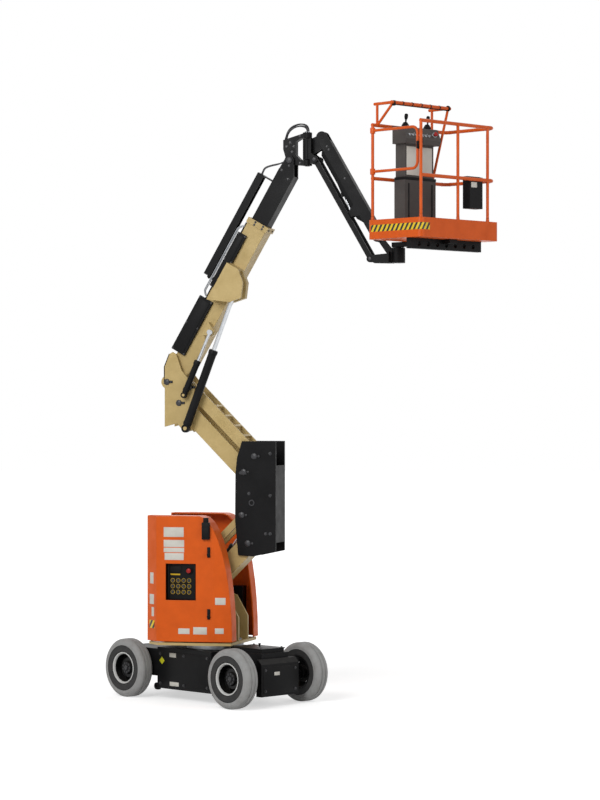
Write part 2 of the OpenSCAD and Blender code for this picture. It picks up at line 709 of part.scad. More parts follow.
bend = 60;
module post(x, y, z0, z1, d = rail_d) translate([x, y, z0]) cylinder(d = d, h = z1 - z0);
module rod_x(x0, x1, y, z, d = rail_d) translate([x0, y, z]) rotate([0, 90, 0]) cylinder(d = d, h = x1 - x0);
module rod_y(x, y0, y1, z, d = rail_d) translate([x, y0, z]) rotate([-90, 0, 0]) cylinder(d = d, h = y1 - y0);
// A weld collar joins each bend to its straight tubes
collar = 12;
split = 2;
collar_d = rail_d + 3;
module elbow(x, y, z, a) translate([x, y, z]) rotate([0, 0, a]) {
    rotate_extrude(angle = 90) translate([bend, 0]) circle(d = rail_d);
    translate([bend, 0, 0]) rotate([90, 0, 0]) cylinder(d = collar_d, h = collar, center = true);
    translate([0, bend, 0]) rotate([0, 90, 0]) cylinder(d = collar_d, h = collar, center = true);
}
module platform_rails() world() color(orange) {
    x0 = plat_x0 + rail_in;
    x1 = plat_x1 - rail_in;
    y0 = plat_y0 + rail_in;
    y1 = plat_y1 - rail_in;
    thin = rail_d - 6;
    for (z = [rail_mid, rail_top]) {
        rod_y(x0, y0 - 8, y1 - bend - split, z);
        rod_y(x1, y0 - 8, y1 - bend - split, z);
        rod_x(x0 + bend + split, x1 - bend - split, y1, z);
        elbow(x0 + bend, y1 - bend, z, 90);
        elbow(x1 - bend, y1 - bend, z, 0);
    }
    for (x = [x0, x1]) post(x, y0, plat_z + floor_t, rail_top, thin);
    post(x0, plat_y0 + 960, plat_z + floor_t, rail_top, thin);
    post(x1, y1 - 100, plat_z + floor_t, rail_top, thin);
    post(x1, (y0 + y1) / 2, plat_z + floor_t, rail_top, thin);
}

// The gate's bends are a touch thinner than its straight tubes, which run a little way into them
lap = 6;
slim = 0.6;
gate_gap = 46;
gate_bend = 70;
module gate() world() color(orange) {
    xh = plat_x0 + rail_in;
    x1 = plat_x1 - rail_in - gate_gap;
    y = plat_y0 + rail_in;
    z0 = rail_mid + 70;
    z1 = rail_top - 60;
    thin = rail_d - 8;
    difference() {
        union() {
            for (z = [z0, z1]) {
                rod_x(xh, x1 - gate_bend + lap, y, z, thin);
                translate([xh, y, z - 30]) cylinder(d = rail_d + 16, h = 60);
            }
            post(x1, y, z0 + gate_bend - lap, z1 - gate_bend + lap, thin);
            for (up = [0, 1]) translate([x1 - gate_bend, y, up ? z1 - gate_bend : z0 + gate_bend])
                mirror([0, 0, 1 - up]) rotate([90, 0, 0])
                    rotate_extrude(angle = 90) translate([gate_bend, 0]) circle(d = thin - slim);
        }
        post(xh, y, 0, 2 * big, rail_d - 6 + 2 * pin_gap);
    }
}

// Console: a cover to the floor, a case and an overhanging head with a sloped face
console_y = plat_y0 + 345;
console_w = 480;
console_x = plat_x0 + 66;
case_z = 660;
head_z = 1010;
head_over = 30;
head_side = [[0, head_z], [180, head_z], [204, head_z + 50], [150, head_z + 175], [0, head_z + 190]];
module console() world() color(grey) translate([console_x, console_y, plat_z]) {
    translate([0, 0, floor_t]) cube([150, console_w, case_z - floor_t + 1]);
    translate([0, 20, case_z]) cube([134, console_w - 40, head_z - case_z + 1]);
    translate([0, console_w / 2, 0])
        plate(-console_w / 2 - head_over, console_w / 2 + head_over) polygon(head_side);
}

// Guard hoop over the console: two posts on the rail, arms forward and legs that lean back down
hoop_d = 32;
hoop_h = 225;
hoop_lean = 230;
hoop_y = [plat_y0 + 110, plat_y0 + 960];
hoop_x = plat_x0 + rail_in;
arm_tail = 40;
module leg(y, z0) {
    d = [hoop_lean, rail_top + hoop_h - z0];
    translate([hoop_x, y, z0]) rotate([0, atan2(d[0], d[1]), 0]) cylinder(d = hoop_d - 4, h = norm(d));
}
module guard_hoop() world() color(orange) difference() {
    union() {
        for (y = hoop_y) {
            post(hoop_x, y, rail_top, rail_top + hoop_h, hoop_d - 4);
            rod_x(hoop_x - arm_tail, hoop_x + hoop_lean, y, rail_top + hoop_h, hoop_d);
        }
        rod_y(hoop_x + hoop_lean, hoop_y[0] - 30, hoop_y[1] + 30, rail_top + hoop_h, hoop_d + 4);
        leg(hoop_y[0], rail_top);
        leg(hoop_y[1], rail_mid);
    }
    for (z = [rail_mid, rail_top]) rod_y(hoop_x, plat_y0, plat_y1, z);
    post(hoop_x, hoop_y[1], plat_z, rail_top - rail_d / 4, rail_d - 6);
}

module document_box() world() color(black) difference() {
    translate([plat_x1 - rail_in - 100, plat_y1 - 420, plat_z + 330]) cube([100, 200, 330]);
    rod_y(plat_x1 - rail_in, plat_y0, plat_y1, rail_mid);
}

chassis_frame();
front_frame();
front_bumper();
rear_axle();
front_axle();
knuckle(-1);  // knuckle_near
knuckle(1);  // knuckle_far
tie_rod();
tyre(-axle_x, -wheel_y);  // tyre_rear_near
tyre(-axle_x, wheel_y);  // tyre_rear_far
tyre(axle_x, -wheel_y);  // tyre_front_near
tyre(axle_x, wheel_y);  // tyre_front_far
rim(-axle_x, -wheel_y, 1);  // rim_rear_near
rim(-axle_x, wheel_y, -1);  // rim_rear_far
rim(axle_x, -wheel_y, 1);  // rim_front_near
rim(axle_x, wheel_y, -1);  // rim_front_far
slew_ring();
turntable();
counterweight();
battery_blocks();
hood_near();
hood_far();
ground_controls();
lower_boom();
lower_link();
lower_upright();
tower_barrel();
tower_rod();
mid_boom();
mid_link();
upper_upright();
main_boom();
boom_covers();
lift_barrel();
lift_rod();
level_barrel();
level_rod();
fly_boom();
track_tube();
track_chain();
jib_head();
jib_swivel();
jib_arm();
jib_links();
jib_barrel();
jib_rod();
jib_end();
platform_support();
platform_floor();
platform_rails();
gate();
console();
guard_hoop();
document_box();
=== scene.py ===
"""Articulating boom lift: the looks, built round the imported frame."""

import json
from math import atan2, cos, pi, radians, sin

import bmesh
import bpy
from mathutils import Matrix, Vector


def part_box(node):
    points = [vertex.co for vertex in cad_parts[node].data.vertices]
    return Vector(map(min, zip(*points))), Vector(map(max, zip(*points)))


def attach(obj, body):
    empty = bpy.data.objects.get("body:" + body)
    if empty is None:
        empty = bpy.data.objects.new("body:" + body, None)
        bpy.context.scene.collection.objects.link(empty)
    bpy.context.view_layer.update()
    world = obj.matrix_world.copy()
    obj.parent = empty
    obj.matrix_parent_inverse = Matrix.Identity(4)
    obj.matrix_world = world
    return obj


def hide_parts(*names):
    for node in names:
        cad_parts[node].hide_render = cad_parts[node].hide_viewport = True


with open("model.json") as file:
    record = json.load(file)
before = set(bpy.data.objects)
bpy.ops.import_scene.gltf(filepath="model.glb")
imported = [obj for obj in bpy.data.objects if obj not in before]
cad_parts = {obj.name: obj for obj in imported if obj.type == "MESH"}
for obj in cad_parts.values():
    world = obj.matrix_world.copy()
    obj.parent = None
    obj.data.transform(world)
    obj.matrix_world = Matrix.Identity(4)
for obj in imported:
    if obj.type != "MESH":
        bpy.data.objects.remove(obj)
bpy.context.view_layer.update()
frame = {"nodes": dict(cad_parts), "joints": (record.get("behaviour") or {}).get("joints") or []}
scene = bpy.context.scene
MM = 0.001

# Places: every piece is modelled in millimetres in one of these local frames
HEADING = radians(27)
BOOM_PITCH = radians(60)
JIB_PITCH = radians(-60)
joints = {j["name"]: j for j in frame["joints"]}


def pivot(joint):
    return Vector(joints[joint]["pos_m"])


def middle(node):
    lo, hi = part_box(node)
    return (lo + hi) / 2


def along(joint, pitch):
    """The frame of an arm: forward runs along it from its pin."""
    heading = Matrix.Translation(pivot(joint)) @ Matrix.Rotation(HEADING, 4, "Z")
    return heading @ Matrix.Rotation(-pitch, 4, "Y")


slew = middle("slew_ring")
CHASSIS = Matrix.Translation((slew.x, slew.y, 0))
TOWER = CHASSIS @ Matrix.Rotation(HEADING, 4, "Z")
BOOM = along("main_lift", BOOM_PITCH)
JIB = along("jib_lift", JIB_PITCH)
PLATFORM = Matrix.Translation(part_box("platform_floor")[0])


def in_tower(point):
    """A point of the row frame, in millimetres in the tower's frame."""
    return TOWER.inverted() @ point / MM


# Camera: the photograph's own, level, 3.24 m up
PHOTO_H = 800
FOCAL_PX = 2570
EYE_X, EYE_Y, EYE_Z = 20.372, -19.071, 3.24
camera = bpy.data.cameras.new("camera")
camera.sensor_fit = "VERTICAL"
camera.sensor_height = 36
camera.sensor_width = 36
camera.lens = FOCAL_PX / PHOTO_H * camera.sensor_height
camera.clip_end = 300
eye = bpy.data.objects.new("camera", camera)
eye.location = (slew.x + EYE_X, slew.y + EYE_Y, EYE_Z)
eye.rotation_euler = (radians(90), 0, radians(45))
scene.collection.objects.link(eye)
scene.camera = eye


# Materials
def linear(hex_colour):
    """An sRGB hex colour as linear RGBA."""
    parts = [int(hex_colour[i:i + 2], 16) / 255 for i in (1, 3, 5)]
    return tuple(c / 12.92 if c <= 0.04045 else ((c + 0.055) / 1.055) ** 2.4 for c in parts) + (1.0,)


def add(tree, kind, sockets=None, **settings):
    """A node with its settings, its socket values and its links."""
    made = tree.nodes.new(kind)
    for key, value in settings.items():
        setattr(made, key, value)
    for key, value in (sockets or {}).items():
        if isinstance(value, bpy.types.NodeSocket):
            tree.links.new(value, made.inputs[key])
        else:
            made.inputs[key].default_value = value
    return made


def per_metre(size_mm):
    """The scale of a pattern whose features are that size."""
    return 1 / (size_mm * MM)


def fresh(name, roughness, metallic=0.0, ior=1.5, gloss=0.5):
    """A material with the values that are the same all over it."""
    material = bpy.data.materials.new(name)
    material.use_nodes = True
    tree = material.node_tree
    shader = next(n for n in tree.nodes if n.type == "BSDF_PRINCIPLED")
    shader.inputs["Roughness"].default_value = roughness
    shader.inputs["Metallic"].default_value = metallic
    if metallic == 0:
        shader.inputs["IOR"].default_value = ior
    shader.inputs["Specular IOR Level"].default_value = gloss
    return material, tree, shader


def coated(name, body, faded, edge, roughness, peel_mm, wear=0.5, dust=0.25, round_mm=4, metallic=0.0,
           gloss=0.25):
    """Paint or moulded skin: mottled colour, worn edges, dust on what faces up and a fine peel."""
    material, tree, shader = fresh(name, roughness, metallic, 1.5, 0.5 if metallic else gloss)
    place = add(tree, "ShaderNodeTexCoord").outputs["Object"]
    shape = add(tree, "ShaderNodeNewGeometry")
    # cloudy fading, a hand's width across
    cloud = add(tree, "ShaderNodeTexNoise", {"Vector": place, "Scale": per_metre(180), "Detail": 5.0,
                                             "Roughness": 0.62})
    fade = add(tree, "ShaderNodeMapRange", {"Value": cloud.outputs[0], "From Min": 0.38, "From Max": 0.72})
    tint = add(tree, "ShaderNodeMix", {0: fade.outputs[0], 6: linear(body), 7: linear(faded)},
               data_type="RGBA")
    # rounded edges catch the light and show the wear
    soft = add(tree, "ShaderNodeBevel", {"Radius": round_mm * MM}, samples=4)
    bend = add(tree, "ShaderNodeVectorMath", {0: soft.outputs[0], 1: shape.outputs["Normal"]},
               operation="DOT_PRODUCT")
    rim = add(tree, "ShaderNodeMapRange", {"Value": bend.outputs["Value"], "From Min": 0.985,
                                           "From Max": 0.86})
    chips = add(tree, "ShaderNodeTexNoise", {"Vector": place, "Scale": per_metre(22), "Detail": 4.0})
    broken = add(tree, "ShaderNodeMapRange", {"Value": chips.outputs[0], "From Min": 0.42, "From Max": 0.62,
                                              "To Max": wear})
    worn = add(tree, "ShaderNodeMath", {0: rim.outputs[0], 1: broken.outputs[0]}, operation="MULTIPLY")
    edged = add(tree, "ShaderNodeMix", {0: worn.outputs[0], 6: tint.outputs[2], 7: linear(edge)},
                data_type="RGBA")
    # dust settles where a face looks up
    facing = add(tree, "ShaderNodeSeparateXYZ", {"Vector": shape.outputs["Normal"]})
    grit = add(tree, "ShaderNodeTexNoise", {"Vector": place, "Scale": per_metre(60), "Detail": 6.0})
    upward = add(tree, "ShaderNodeMath", {0: facing.outputs["Z"], 1: grit.outputs[0]}, operation="MULTIPLY",
                 use_clamp=True)
    settled = add(tree, "ShaderNodeMath", {0: upward.outputs[0], 1: dust}, operation="MULTIPLY")
    dusty = add(tree, "ShaderNodeMix", {0: settled.outputs[0], 6: edged.outputs[2], 7: linear("#9c9488")},
                data_type="RGBA")
    tree.links.new(dusty.outputs[2], shader.inputs["Base Color"])
    sheen = add(tree, "ShaderNodeMapRange", {"Value": cloud.outputs[0], "From Min": 0.3, "From Max": 0.75,
                                            "To Min": roughness - 0.08, "To Max": roughness + 0.14})
    tree.links.new(sheen.outputs[0], shader.inputs["Roughness"])
    # the peel of a sprayed coat or the grain of a mould, drawn coarse enough to show
    peel = add(tree, "ShaderNodeTexNoise", {"Vector": place, "Scale": per_metre(peel_mm), "Detail": 2.0})
    relief = add(tree, "ShaderNodeBump", {"Height": peel.outputs[0], "Normal": soft.outputs[0],
                                          "Strength": 0.12, "Distance": 0.002})
    tree.links.new(relief.outputs[0], shader.inputs["Normal"])
    return material


# Powder-coated steel, black: a low even gloss, grey where edges rub
black_powder_coat = coated("black_powder_coat", "#0e0e0f", "#161617", "#4c4a47", 0.42, 9, wear=0.4, dust=0.06,
                           gloss=0.1)
# Sprayed wheel enamel, black: a harder gloss than the frame's
wheel_enamel = coated("wheel_enamel", "#0e0e0f", "#151516", "#4c4a48", 0.32, 7, dust=0.06, gloss=0.2)
# Sprayed steel enamel, cream: warm and half gloss, darker steel shows at the edges
cream_enamel = coated("cream_enamel", "#c3ab74", "#b59d66", "#86754f", 0.38, 8, wear=0.35, dust=0.06)
# Rotationally moulded polyethylene, orange: matt skin with a fine mould grain
orange_moulding = coated("orange_moulding", "#dc5c10", "#d0560f", "#ea8440", 0.46, 6, wear=0.3, dust=0.05,
                         round_mm=9, gloss=0.2)
# Powder-coated tube and sheet, orange: brighter gloss than the hoods
orange_powder_coat = coated("orange_powder_coat", "#da5a10", "#cc520e", "#8a4726", 0.36, 7, wear=0.35,
                            dust=0.05)
# Injection-moulded ABS, black: soft sheen, no bare metal at the edges
black_abs = coated("black_abs", "#0f0f10", "#171718", "#333334", 0.5, 5, wear=0.3, dust=0.06, gloss=0.1)
# Moulded polyethylene, warm grey: the console's cases
grey_polyethylene = coated("grey_polyethylene", "#45413f", "#4f4b48", "#6d6965", 0.52, 5, wear=0.35, dust=0.1,
                           round_mm=7)
# Zinc-plated steel: rods' eyes, the ring and the small fittings, dull silver with a faint bloom
zinc_plate = coated("zinc_plate", "#9da0a4", "#85888c", "#c4c6c8", 0.4, 4, wear=0.4, dust=0.1, round_mm=2,
                    metallic=0.9)
# Black oxide steel: bolts and pin heads, dark and slightly oily
black_oxide = coated("black_oxide", "#26262a", "#343437", "#77756f", 0.34, 4, wear=0.5, dust=0.1, round_mm=2,
                     gloss=0.4)
# White enamel: the ring on each wheel
white_enamel = coated("white_enamel", "#d6d6d4", "#c4c4c1", "#9a9a96", 0.34, 7, wear=0.3, dust=0.1)
# Blank vinyl plates, bare of any print
blank_vinyl = coated("blank_vinyl", "#d4d1c8", "#c5c2b9", "#a9a69d", 0.45, 4, wear=0.15, dust=0.05,
                     round_mm=1)
# Fluorescent vinyl: the bare diamond on the chassis side
diamond_vinyl = coated("diamond_vinyl", "#c6c41c", "#b4b21a", "#d8d660", 0.45, 4, wear=0.15, dust=0.05,
                       round_mm=1)
# Moulded switch parts
red_knob = coated("red_knob", "#a31a16", "#8e1613", "#c4463f", 0.35, 4, wear=0.2, dust=0.05, round_mm=2)
yellow_plastic = coated("yellow_plastic", "#cfa818", "#bb9716", "#e0c455", 0.4, 4, wear=0.2, dust=0.05,
                        round_mm=2)


def rubber(name, body, dirt, ring_mm):
    """Moulded rubber: matt, with fine lines left by the mould and dirt in patches."""
    material, tree, shader = fresh(name, 0.82, 0.0, 1.52)
    place = add(tree, "ShaderNodeTexCoord").outputs["Object"]
    scuff = add(tree, "ShaderNodeTexNoise", {"Vector": place, "Scale": per_metre(70), "Detail": 7.0,
                                             "Roughness": 0.65})
    share = add(tree, "ShaderNodeMapRange", {"Value": scuff.outputs[0], "From Min": 0.45, "From Max": 0.75,
                                             "To Max": 0.75})
    tint = add(tree, "ShaderNodeMix", {0: share.outputs[0], 6: linear(body), 7: linear(dirt)},
               data_type="RGBA")
    tree.links.new(tint.outputs[2], shader.inputs["Base Color"])
    lines = add(tree, "ShaderNodeTexNoise", {"Vector": place, "Scale": per_metre(ring_mm), "Detail": 3.0})
    relief = add(tree, "ShaderNodeBump", {"Height": lines.outputs[0], "Strength": 0.25, "Distance": 0.003})
    tree.links.new(relief.outputs[0], shader.inputs["Normal"])
    return material


# Non-marking tyre rubber: pale grey, chalky, soiled in patches
grey_tyre_rubber = rubber("grey_tyre_rubber", "#9a9a99", "#858380", 14)
# Carbon-black rubber: the tyre's core
black_core_rubber = rubber("black_core_rubber", "#1f1f1f", "#33312f", 10)


def hard_chrome():
    """Ground and chromed rod: bright, with a faint oil haze."""
    material, tree, shader = fresh("hard_chrome", 0.16, 1.0)
    place = add(tree, "ShaderNodeTexCoord").outputs["Object"]
    haze = add(tree, "ShaderNodeTexNoise", {"Vector": place, "Scale": per_metre(45), "Detail": 5.0})
    tint = add(tree, "ShaderNodeMix", {0: haze.outputs[0], 6: linear("#c9ccd0"), 7: linear("#a7a9ab")},
               data_type="RGBA")
    tree.links.new(tint.outputs[2], shader.inputs["Base Color"])
    gloss = add(tree, "ShaderNodeMapRange", {"Value": haze.outputs[0], "To Min": 0.1, "To Max": 0.3})
    tree.links.new(gloss.outputs[0], shader.inputs["Roughness"])
    return material


chromed_rod = hard_chrome()


def hazard_tape(pitch_mm):
    """Printed tape: black and yellow bars on a slant that runs on round the corner."""
    material, tree, shader = fresh("hazard_tape", 0.4, 0.0, 1.46)
    place = add(tree, "ShaderNodeTexCoord").outputs["Object"]
    step = per_metre(pitch_mm)
    slant = add(tree, "ShaderNodeVectorMath", {0: place, 1: (step, step, -0.6 * step)},
                operation="DOT_PRODUCT")
    saw = add(tree, "ShaderNodeMath", {0: slant.outputs["Value"]}, operation="FRACT")
    bar = add(tree, "ShaderNodeMapRange", {"Value": saw.outputs[0], "From Min": 0.48, "From Max": 0.52})
    fade = add(tree, "ShaderNodeTexNoise", {"Vector": place, "Scale": per_metre(30), "Detail": 4.0})
    yellow = add(tree, "ShaderNodeMix", {0: fade.outputs[0], 6: linear("#f2d11c"), 7: linear("#d9b51c")},
                 data_type="RGBA")
    tint = add(tree, "ShaderNodeMix", {0: bar.outputs[0], 6: yellow.outputs[2], 7: linear("#161616")},
               data_type="RGBA")
    tree.links.new(tint.outputs[2], shader.inputs["Base Color"])
    return material


slanted_tape = hazard_tape(62)

# The CAD nodes' finishes
FINISHES = {
    black_powder_coat: ["chassis_frame", "front_frame", "front_bumper", "rear_axle", "front_axle",
                        "knuckle_near", "knuckle_far", "counterweight", "battery_blocks", "lower_upright",
                        "tower_barrel", "lift_barrel", "level_barrel", "fly_boom", "track_tube", "jib_head",
                        "jib_swivel", "jib_arm", "jib_links", "jib_barrel", "jib_end", "platform_support"],
    wheel_enamel: ["rim_rear_near", "rim_rear_far", "rim_front_near", "rim_front_far"],
    cream_enamel: ["turntable", "lower_boom", "lower_link", "mid_boom", "mid_link", "upper_upright",
                   "main_boom"],
    orange_moulding: ["hood_near", "hood_far"],
    orange_powder_coat: ["platform_floor", "platform_rails", "gate", "guard_hoop"],
    black_abs: ["boom_covers", "ground_controls", "document_box", "track_chain"],
    grey_polyethylene: ["console"],
    zinc_plate: ["slew_ring", "tie_rod"],
    chromed_rod: ["tower_rod", "lift_rod", "level_rod", "jib_rod"],
    grey_tyre_rubber: ["tyre_rear_near", "tyre_rear_far", "tyre_front_near", "tyre_front_far"],
}
for material, nodes in FINISHES.items():
    for name in nodes:
        mesh = frame["nodes"][name].data
        mesh.materials.clear()
        mesh.materials.append(material)


# Shapes: each is made in a bmesh of its own, in millimetres, and then set into its piece
def join(bm, part, place=Matrix.Identity(4)):
    bmesh.ops.transform(part, matrix=place, verts=part.verts)
    mesh = bpy.data.meshes.new("shape")
    part.to_mesh(mesh)
    part.free()
    bm.from_mesh(mesh)
    bpy.data.meshes.remove(mesh)


def stand(direction):
    """The turn that takes +Z to a direction."""
    return Vector((0, 0, 1)).rotation_difference(Vector(direction)).to_matrix().to_4x4()


def soften(part, edges, round_mm, segments=2):
    bmesh.ops.bevel(part, geom=edges, offset=round_mm, segments=segments, profile=0.5, affect="EDGES",
                    material=-1, clamp_overlap=True)


def block(bm, lo, hi, round_mm=3):
    part = bmesh.new()
    lo, hi = Vector(lo), Vector(hi)
    place = Matrix.Translation((lo + hi) / 2) @ Matrix.Diagonal((*(hi - lo), 1))
    bmesh.ops.create_cube(part, size=1, matrix=place)
    soften(part, part.edges[:], round_mm)
    join(bm, part)


def turned(bm, profile, at=(0, 0, 0), axis=(0, 0, 1), steps=32):
    """A profile of (radius, height) points spun once round its axis."""
    part = bmesh.new()
    verts = [part.verts.new((r, 0, h)) for r, h in profile]
    edges = [part.edges.new(pair) for pair in zip(verts, verts[1:])]
    bmesh.ops.spin(part, geom=verts + edges, cent=(0, 0, 0), axis=(0, 0, 1), angle=2 * pi, steps=steps,
                   use_merge=True)
    bmesh.ops.remove_doubles(part, verts=part.verts, dist=0.01)
    join(bm, part, Matrix.Translation(at) @ stand(axis))


def kind(geom, wanted):
    """The vertices, edges or faces among what an operator made."""
    return [g for g in geom if isinstance(g, wanted)]


def sheet_plate(bm, outline, v0, v1, round_mm=2):
    """A flat outline of (forward, up) points, given thickness across."""
    part = bmesh.new()
    face = part.faces.new([part.verts.new((u, v0, z)) for u, z in outline])
    grown = bmesh.ops.extrude_face_region(part, geom=[face], use_keep_orig=True)["geom"]
    bmesh.ops.translate(part, verts=kind(grown, bmesh.types.BMVert), vec=(0, v1 - v0, 0))
    soften(part, part.edges[:], round_mm)
    join(bm, part)


def hex_bolt(bm, at, axis, across=30):
    """A hexagon head with a chamfered top on a washer."""
    turned(bm, [(0, 0), (across * 0.78, 0), (across * 0.78, across * 0.1), (0, across * 0.1)], at, axis, 16)
    part = bmesh.new()
    bmesh.ops.create_cone(part, cap_ends=True, segments=6, radius1=across * 0.56, radius2=across * 0.56,
                          depth=across * 0.5)
    soften(part, [e for e in part.edges if all(v.co.z > 0 for v in e.verts)], across * 0.08, 1)
    join(bm, part, Matrix.Translation(at) @ stand(axis) @ Matrix.Translation((0, 0, across * 0.35)))


def tube(bm, points, diameter, sides=3):
    """A bent tube through its points."""
    curve = bpy.data.curves.new("route", "CURVE")
    curve.dimensions = "3D"
    curve.bevel_depth = diameter / 2
    curve.bevel_resolution = sides
    curve.use_fill_caps = True
    curve.resolution_u = 6
    spline = curve.splines.new("NURBS")
    spline.points.add(len(points) - 1)
    for point, place in zip(spline.points, points):
        point.co = (*place, 1)
    spline.order_u = 3
    spline.use_endpoint_u = True
    holder = bpy.data.objects.new("route", curve)
    mesh = bpy.data.meshes.new_from_object(holder)
    bm.from_mesh(mesh)
    bpy.data.objects.remove(holder)
    bpy.data.curves.remove(curve)
    bpy.data.meshes.remove(mesh)


def make(name, body, finishes, place, build, stands_for=(), pick=None):
    """A piece: its shapes are built in a local frame, then set in place on a body."""
    bm = bmesh.new()
    build(bm)
    if pick:
        for face in bm.faces:
            face.material_index = pick(face.calc_center_median())
    bmesh.ops.transform(bm, matrix=place @ Matrix.Scale(MM, 4), verts=bm.verts)
    bmesh.ops.recalc_face_normals(bm, faces=bm.faces)
    mesh = bpy.data.meshes.new(name)
    for face in bm.faces:
        face.smooth = True
    bm.to_mesh(mesh)
    bm.free()
    mesh.set_sharp_from_angle(angle=radians(32))
    for finish in finishes if isinstance(finishes, list) else [finishes]:
        mesh.materials.append(finish)
    piece = bpy.data.objects.new(name, mesh)
    scene.collection.objects.link(piece)
    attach(piece, body)
    if stands_for:
        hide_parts(*stands_for)
    return piece


# Wheels: ribbed tyre with its black core, white rim ring, nuts and cap
TYRE_R, CORE_R, RIM_R = 317.5, 243, 172
half_tyre = [(RIM_R + 1, 74), (RIM_R + 13, 86), (CORE_R - 3, 88), (CORE_R, 84), (CORE_R + 4, 88.6), (255, 89),
             (270, 87.4), (274, 88.2), (279, 86), (292, 81), (303, 73), (311.5, 63), (316, 55), (TYRE_R, 45),
             (TYRE_R, 30), (TYRE_R - 7, 28), (TYRE_R - 7, 20), (TYRE_R, 18)]
tyre_profile = half_tyre + [(r, -y) for r, y in reversed(half_tyre)] + half_tyre[:1]
RING = [(151, 60), (155, 77), (160, 84), (168, 86), (172, 82), (171, 78), (160, 74), (156, 60), (151, 60)]
CAP = [(0, 52), (16, 51), (25, 46), (29, 38), (29.5, 32), (0, 32)]
VALVE = [(0, 86), (4, 86), (4, 60), (6, 58), (6, 40), (0, 40)]
NUTS, NUT_CIRCLE, DISC_FACE = 9, 52, 33.5
for corner in ("rear_near", "rear_far", "front_near", "front_far"):
    out = -1 if corner.endswith("near") else 1
    hub = Matrix.Translation(middle("tyre_" + corner)) @ stand((0, out, 0))
    body = "wheel_" + corner

    def tyre(bm):
        turned(bm, tyre_profile, steps=72)

    def ring(bm):
        turned(bm, RING, steps=64)

    def nuts(bm):
        for i in range(NUTS):
            a = 2 * pi * i / NUTS
            hex_bolt(bm, (NUT_CIRCLE * cos(a), NUT_CIRCLE * sin(a), DISC_FACE), (0, 0, 1), 16)
        turned(bm, CAP, steps=32)
        turned(bm, VALVE, (144, 0, -8), steps=12)

    make("tyre_ribbed_" + corner, body, [grey_tyre_rubber, black_core_rubber], hub, tyre,
         ["tyre_" + corner], lambda c: int(c.xy.length < CORE_R + 2))
    make("rim_ring_" + corner, body, white_enamel, hub, ring)
    make("wheel_nuts_" + corner, body, black_oxide, hub, nuts)

# Chassis: side covers, lid, front plate and bolts
FRAME_Y, BODY_X0, BODY_X1, BELLY, DECK = 420, -470, 390, 115, 560
NOSE_X1, NOSE_HALF, LID_TOP = 925, 195, 600
BUMPER_X, BUMPER_HALF, BUMPER_TOP = 1005, 275, 505


def side_covers(bm):
    for side in (-1, 1):
        y = sorted((side * (FRAME_Y - 1), side * (FRAME_Y + 5)))
        block(bm, (BODY_X0 + 28, y[0], BELLY + 30), (BODY_X1 - 34, y[1], DECK - 45), 4)
        block(bm, (BODY_X1 - 26, y[0], BELLY + 10), (BODY_X1 - 4, y[1], DECK - 12), 3)
    block(bm, (BODY_X1 + 20, -NOSE_HALF + 20, LID_TOP - 1), (NOSE_X1 - 20, NOSE_HALF - 20, LID_TOP + 8), 4)
    block(bm, (BUMPER_X - 1, -BUMPER_HALF + 22, BELLY + 25),
          (BUMPER_X + 5, BUMPER_HALF - 22, BUMPER_TOP - 75), 4)
    knob = [(0, 34), (10, 33), (15, 28), (16, 22), (9, 18), (9, 0), (0, 0)]
    turned(bm, knob, (BODY_X1 + 240, 60, LID_TOP + 7))


def frame_bolts(bm):
    for side in (-1, 1):
        for x in (BODY_X0 + 55, -40, BODY_X1 - 62):
            for z in (BELLY + 56, DECK - 72):
                hex_bolt(bm, (x, side * (FRAME_Y + 4.5), z), (0, side, 0), 22)
        for x in (BODY_X1 + 55, NOSE_X1 - 55):
            hex_bolt(bm, (x, side * (NOSE_HALF - 42), LID_TOP + 7.5), (0, 0, 1), 18)
        for z in (BELLY + 60, BUMPER_TOP - 110):
            hex_bolt(bm, (BUMPER_X + 4.5, side * (BUMPER_HALF - 55), z), (1, 0, 0), 20)


make("chassis_covers", "chassis", black_powder_coat, CHASSIS, side_covers)
make("chassis_bolts", "chassis", black_oxide, CHASSIS, frame_bolts)


# how far a plate's back and face stand out from the steel
PLATE_BACK, PLATE_FACE = 4, 6.4


def chassis_plates(bm):
    block(bm, (-270, -FRAME_Y - PLATE_FACE, 462), (-165, -FRAME_Y - PLATE_BACK, 508), 1)
    block(bm, (-265, -FRAME_Y - PLATE_FACE, 152), (-120, -FRAME_Y - PLATE_BACK, 196), 1)
    block(bm, (BUMPER_X + PLATE_BACK, -90, 334), (BUMPER_X + PLATE_FACE, -12, 370), 1)


def diamond_plate(bm):
    diamond = [(-390, 375), (-348, 417), (-390, 459), (-432, 417)]
    sheet_plate(bm, diamond, -FRAME_Y - PLATE_FACE, -FRAME_Y - PLATE_BACK, 0.8)


make("chassis_plates", "chassis", blank_vinyl, CHASSIS, chassis_plates)
make("diamond_plate", "chassis", diamond_vinyl, CHASSIS, diamond_plate)


def ring_bolts(bm):
    count, circle, base_top = 24, 276, 644.5
    for i in range(count):
        a = 2 * pi * (i + 0.5) / count
        hex_bolt(bm, (circle * cos(a), circle * sin(a), base_top), (0, 0, 1), 24)


make("slew_bolts", "turntable", zinc_plate, TOWER, ring_bolts)

# Hoods: blank plates, latches and the ground control panel
HOOD_TAIL, HOOD_FOLD, HOOD_MID, HOOD_FRONT = (-620, 430), (-470, 550), (150, 478), (345, 428)


def hood_face(side, start, end):
    """The frame of a hood's flat face, from one corner of its plan to the next."""
    yaw = side * atan2(end[1] - start[1], end[0] - start[0])
    return TOWER @ Matrix.Translation((start[0] * MM, side * start[1] * MM, 0)) @ Matrix.Rotation(yaw, 4, "Z")


NEAR_FACE = hood_face(-1, HOOD_FOLD, HOOD_MID)
FAR_FACE = hood_face(1, HOOD_FOLD, HOOD_MID)
REAR_FACE = hood_face(-1, HOOD_TAIL, HOOD_FOLD)
FRONT_FACE = hood_face(-1, HOOD_MID, HOOD_FRONT)
